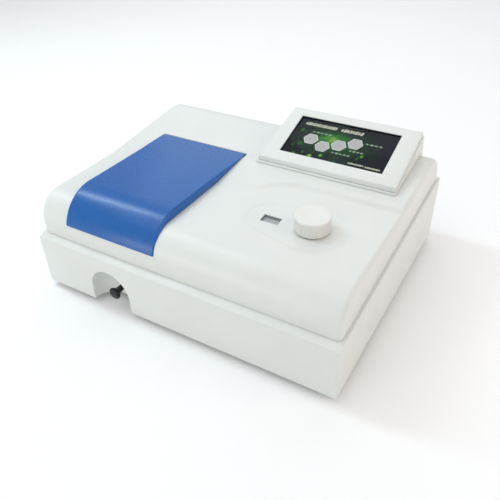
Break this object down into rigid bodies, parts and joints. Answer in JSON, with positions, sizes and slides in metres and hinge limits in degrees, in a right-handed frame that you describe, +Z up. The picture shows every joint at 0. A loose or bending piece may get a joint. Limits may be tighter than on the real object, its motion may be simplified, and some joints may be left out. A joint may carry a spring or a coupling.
{
  "type": "spectrophotometer",
  "caption": "White bench spectrophotometer with a blue hinged sample lid, a pull-rod cell changer, a ribbed wavelength knob with a scale window, and a tilted touch screen.",
  "frame": {"origin": "on the bench, under the middle of the instrument", "axes": "+X to the operator's right, +Y to the back, +Z up"},
  "size_m": [0.46, 0.38, 0.1988],
  "materials": {
    "white_abs": "fine-textured white moulding",
    "blue_abs": "satin blue moulding",
    "black_plastic": "moulded black",
    "foam": "closed-cell foam",
    "steel": "ground",
    "aluminium": "satin",
    "anodised": "black anodised",
    "brass": "machined",
    "clear": "polished",
    "coated_glass": "aluminised optical surface",
    "screen_glass": "glossy touch panel over a lit display",
    "circuit_board": "solder-masked laminate with parts",
    "rubber": "moulded",
    "ceramic": "fired, unglazed",
    "printed_dial": "white disc with a printed scale"
  },
  "bodies": {
    "instrument": {"base_tray": "white_abs", "foot_front_left": "rubber", "foot_front_right": "rubber", "foot_back_left": "rubber", "foot_back_right": "rubber", "top_cover": "white_abs", "cover_screw_left": "steel", "cover_screw_right": "steel", "hinge_channel": "black_plastic", "hinge_pin_left": "steel", "hinge_pin_right": "steel", "sample_well": "anodised", "rail_left": "steel", "rail_right": "steel", "rod_bush": "black_plastic", "shaft_bush": "brass", "scale_window": "clear", "monochromator_case": "anodised", "monochromator_lid": "anodised", "collimating_mirror": "coated_glass", "exit_slit": "steel", "entrance_slit": "steel", "condenser_lens": "clear", "lamp_housing": "aluminium", "lamp_socket": "ceramic", "halogen_lamp": "clear", "heat_sink": "anodised", "detector_housing": "anodised", "photodiode": "steel", "main_board": "circuit_board", "power_supply": "circuit_board", "fan_frame": "black_plastic", "fan_guard": "steel", "mains_inlet": "black_plastic", "switch_frame": "black_plastic", "fuse_holder": "black_plastic", "serial_port": "steel", "usb_port": "steel", "display_base": "white_abs", "display_bezel": "white_abs", "touch_screen": "screen_glass", "lcd_module": "aluminium"},
    "lid": {"sample_lid": "blue_abs", "lid_seal": "foam"},
    "changer": {"cell_carriage": "aluminium", "cell_rack": "anodised", "pull_rod": "steel", "pull_knob": "black_plastic"},
    "wavelength_drive": {"wavelength_knob": "white_abs", "knob_shaft": "steel", "wavelength_dial": "printed_dial", "drive_pinion": "brass"},
    "grating_mount": {"sector_gear": "brass", "grating_shaft": "steel", "grating": "coated_glass"},
    "rocker": {"switch_rocker": "black_plastic"},
    "rotor": {"fan_rotor": "black_plastic"}
  },
  "joints": [
    {"name": "lid_hinge", "type": "hinge", "parent": "instrument", "child": "lid", "pos_m": [-0.1035, 0.0475, 0.152], "axis": [-1, 0, 0], "range_deg": [0, 75]},
    {"name": "changer_slide", "type": "slide", "parent": "instrument", "child": "changer", "axis": [0, -1, 0], "range_m": [0, 0.054]},
    {"name": "wavelength_turn", "type": "hinge", "parent": "instrument", "child": "wavelength_drive", "pos_m": [0.1375, -0.071, 0.147], "axis": [0, 0, 1], "range_deg": [-165, 165]},
    {"name": "grating_turn", "type": "hinge", "parent": "instrument", "child": "grating_mount", "pos_m": [0.0565, -0.071, 0.124], "axis": [0, 0, 1], "range_deg": [-21, 21]},
    {"name": "power_rocker", "type": "hinge", "parent": "instrument", "child": "rocker", "pos_m": [-0.146, 0.179, 0.052], "axis": [1, 0, 0], "range_deg": [0, 20]},
    {"name": "fan_spin", "type": "hinge", "parent": "instrument", "child": "rotor", "pos_m": [0.062, 0.173, 0.06], "axis": [0, 1, 0], "continuous": true}
  ],
  "couplings": [
    {"joint": "grating_turn", "follows": "wavelength_turn", "ratio": -0.125}
  ]
}
